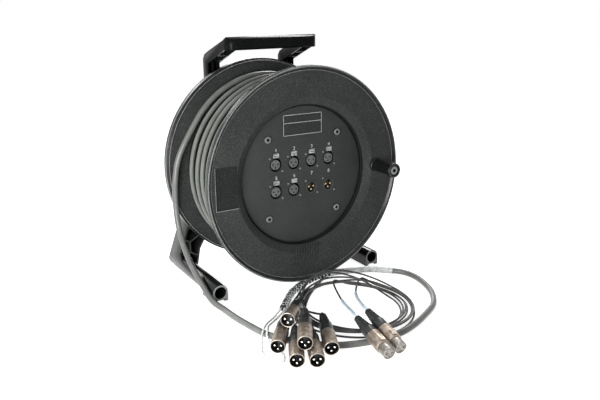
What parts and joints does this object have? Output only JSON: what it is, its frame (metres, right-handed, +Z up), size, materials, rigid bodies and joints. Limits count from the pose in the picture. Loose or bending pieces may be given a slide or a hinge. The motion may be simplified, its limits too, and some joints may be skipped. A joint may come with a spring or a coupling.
{
  "type": "multicore cable drum",
  "caption": "Cable drum on a rear frame with a carry handle, a connector panel in its sunk face and a multicore cable that ends in a fan-out of plugs.",
  "frame": {"origin": "centre of the drum, frame and handle on the floor, without the loose cable and its plugs", "axes": "+Z up, +Y from the connector panel to the rear frame along the drum's axle, +X to the right seen from the panel's side"},
  "size_m": [0.3107, 0.4263, 0.3575],
  "materials": {
    "grained_plastic": "fine grained charcoal moulding",
    "gloss_plastic": "glossy black moulding",
    "frame_plastic": "satin black moulding",
    "black_plastic": "satin black",
    "panel_paint": "fine textured charcoal paint",
    "steel": "bright zinc plating",
    "insert_plastic": "grey moulding",
    "latch_metal": "bright plating",
    "cable_jacket": "smooth grey jacket",
    "tail_jacket": "smooth dark jacket",
    "shell_metal": "satin nickel with a warm cast",
    "bush_plastic": "natural white bearing plastic",
    "clear_sleeve": "clear heat shrink",
    "wire_net": "bare woven wire",
    "rope": "clear white cord"
  },
  "bodies": {
    "stand": {"axle": "steel", "axle_washer": "steel", "axle_nut": "steel", "cable_run": "cable_jacket", "left_foot": "frame_plastic", "right_foot": "frame_plastic", "back_frame": "frame_plastic", "carry_handle": "gloss_plastic", "breakout_sleeve": "clear_sleeve", "pulling_grip": "wire_net", "grip_loop": "rope", "tail_coil": "tail_jacket", "tail_1": "tail_jacket", "tail_2": "tail_jacket", "tail_3": "tail_jacket", "tail_4": "tail_jacket", "tail_5": "tail_jacket", "tail_6": "tail_jacket", "tail_7": "tail_jacket", "tail_8": "tail_jacket", "pin_plug_1": "shell_metal", "pin_plug_2": "shell_metal", "pin_plug_3": "shell_metal", "pin_plug_4": "shell_metal", "pin_plug_5": "shell_metal", "pin_plug_6": "shell_metal", "socket_plug_7": "shell_metal", "socket_plug_8": "shell_metal"},
    "drum": {"front_flange": "grained_plastic", "back_flange": "grained_plastic", "drum_core": "grained_plastic", "front_bush": "bush_plastic", "rear_bush": "bush_plastic", "connector_panel": "panel_paint", "winding_core": "cable_jacket", "cable_winding": "cable_jacket", "knob_bolt": "steel", "knob_nut": "steel", "panel_screw_1": "steel", "panel_screw_2": "steel", "panel_screw_3": "steel", "panel_screw_4": "steel", "panel_socket_1": "insert_plastic", "panel_socket_2": "insert_plastic", "panel_socket_3": "insert_plastic", "panel_socket_4": "insert_plastic", "panel_socket_5": "insert_plastic", "panel_socket_6": "insert_plastic", "panel_pins_7": "insert_plastic", "panel_pins_8": "insert_plastic"},
    "knob": {"crank_knob": "black_plastic"},
    "panel_latch_1": {"socket_latch_1": "latch_metal"},
    "panel_latch_2": {"socket_latch_2": "latch_metal"},
    "panel_latch_3": {"socket_latch_3": "latch_metal"},
    "panel_latch_4": {"socket_latch_4": "latch_metal"},
    "panel_latch_5": {"socket_latch_5": "latch_metal"},
    "panel_latch_6": {"socket_latch_6": "latch_metal"},
    "cable_latch_7": {"plug_latch_7": "latch_metal"},
    "cable_latch_8": {"plug_latch_8": "latch_metal"}
  },
  "joints": [
    {"name": "drum_spin", "type": "hinge", "parent": "stand", "child": "drum", "pos_m": [0, 0.04, 0.1675], "axis": [0, 1, 0], "continuous": true},
    {"name": "knob_spin", "type": "hinge", "parent": "drum", "child": "knob", "pos_m": [0.117, -0.095, 0.1705], "axis": [0, 1, 0], "continuous": true},
    {"name": "panel_latch_1_press", "type": "slide", "parent": "drum", "child": "panel_latch_1", "axis": [0, 1, 0], "range_m": [0, 0.0018], "stiffness_N_per_m": 600, "springref_m": -0.001},
    {"name": "panel_latch_2_press", "type": "slide", "parent": "drum", "child": "panel_latch_2", "axis": [0, 1, 0], "range_m": [0, 0.0018], "stiffness_N_per_m": 600, "springref_m": -0.001},
    {"name": "panel_latch_3_press", "type": "slide", "parent": "drum", "child": "panel_latch_3", "axis": [0, 1, 0], "range_m": [0, 0.0018], "stiffness_N_per_m": 600, "springref_m": -0.001},
    {"name": "panel_latch_4_press", "type": "slide", "parent": "drum", "child": "panel_latch_4", "axis": [0, 1, 0], "range_m": [0, 0.0018], "stiffness_N_per_m": 600, "springref_m": -0.001},
    {"name": "panel_latch_5_press", "type": "slide", "parent": "drum", "child": "panel_latch_5", "axis": [0, 1, 0], "range_m": [0, 0.0018], "stiffness_N_per_m": 600, "springref_m": -0.001},
    {"name": "panel_latch_6_press", "type": "slide", "parent": "drum", "child": "panel_latch_6", "axis": [0, 1, 0], "range_m": [0, 0.0018], "stiffness_N_per_m": 600, "springref_m": -0.001},
    {"name": "cable_latch_7_press", "type": "slide", "parent": "stand", "child": "cable_latch_7", "axis": [0.0162, 0.1625, -0.9866], "range_m": [0, 0.0009], "stiffness_N_per_m": 600, "springref_m": -0.0005},
    {"name": "cable_latch_8_press", "type": "slide", "parent": "stand", "child": "cable_latch_8", "axis": [0.0169, 0.2192, -0.9755], "range_m": [0, 0.0009], "stiffness_N_per_m": 600, "springref_m": -0.0005}
  ]
}
